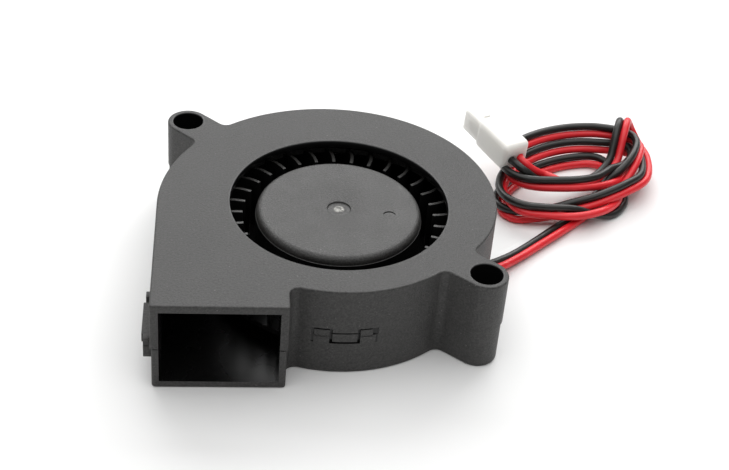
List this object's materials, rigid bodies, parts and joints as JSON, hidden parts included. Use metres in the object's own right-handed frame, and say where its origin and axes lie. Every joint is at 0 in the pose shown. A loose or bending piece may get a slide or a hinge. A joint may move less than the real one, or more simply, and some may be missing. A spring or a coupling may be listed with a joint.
{
  "type": "radial blower fan",
  "caption": "Flat square radial blower fan with a snail-shaped snap-together housing, a bladed wheel in the round inlet, two screw ears and a coiled red and black lead with a white plug.",
  "frame": {"origin": "on the rotor axis, in the plane of the flat underside that the fan rests on", "axes": "+Z along the rotor axis from the underside to the inlet; -Y out of the outlet mouth; +X to the right, with the lead leaving on the +X side"},
  "size_m": [0.0843, 0.0622, 0.015],
  "materials": {
    "housing_plastic": "fine spark texture",
    "impeller_plastic": "satin",
    "label": "blank foil, satin",
    "brass": "turned",
    "bronze": "sintered, oiled",
    "nylon": "natural",
    "core_steel": "stamped sheets",
    "yoke_steel": "plated",
    "shaft_steel": "ground",
    "magnet": "bonded ferrite",
    "copper_wire": "enamelled",
    "circuit_board": "solder mask",
    "chip": "moulded",
    "rubber": "matt",
    "red_insulation": "soft vinyl",
    "black_insulation": "soft vinyl",
    "lead_coil": "soft vinyl",
    "plug_nylon": "natural nylon",
    "terminal": "tinned"
  },
  "bodies": {
    "housing": {"upper_cover": "housing_plastic", "lower_housing": "housing_plastic", "base_label": "label", "bearing_tube": "brass", "sleeve_bearing": "bronze", "thrust_pad": "nylon", "stator_core": "core_steel", "lower_insulator": "nylon", "upper_insulator": "nylon", "winding_1": "copper_wire", "winding_2": "copper_wire", "winding_3": "copper_wire", "winding_4": "copper_wire", "circuit_board": "circuit_board", "driver_chip": "chip", "hall_sensor": "chip", "filter_capacitor": "chip", "lead_red": "red_insulation", "lead_black": "black_insulation", "lead_coil": "lead_coil", "lead_red_end": "red_insulation", "lead_black_end": "black_insulation", "connector_housing": "plug_nylon", "terminal_red": "terminal", "terminal_black": "terminal"},
    "rotor": {"impeller": "impeller_plastic", "rotor_yoke": "yoke_steel", "ring_magnet": "magnet", "shaft": "shaft_steel", "retaining_washer": "nylon", "oil_slinger": "rubber"}
  },
  "joints": [
    {"name": "rotor_spin", "type": "hinge", "parent": "housing", "child": "rotor", "pos_m": [0, 0, 0], "axis": [0, 0, 1], "continuous": true}
  ]
}
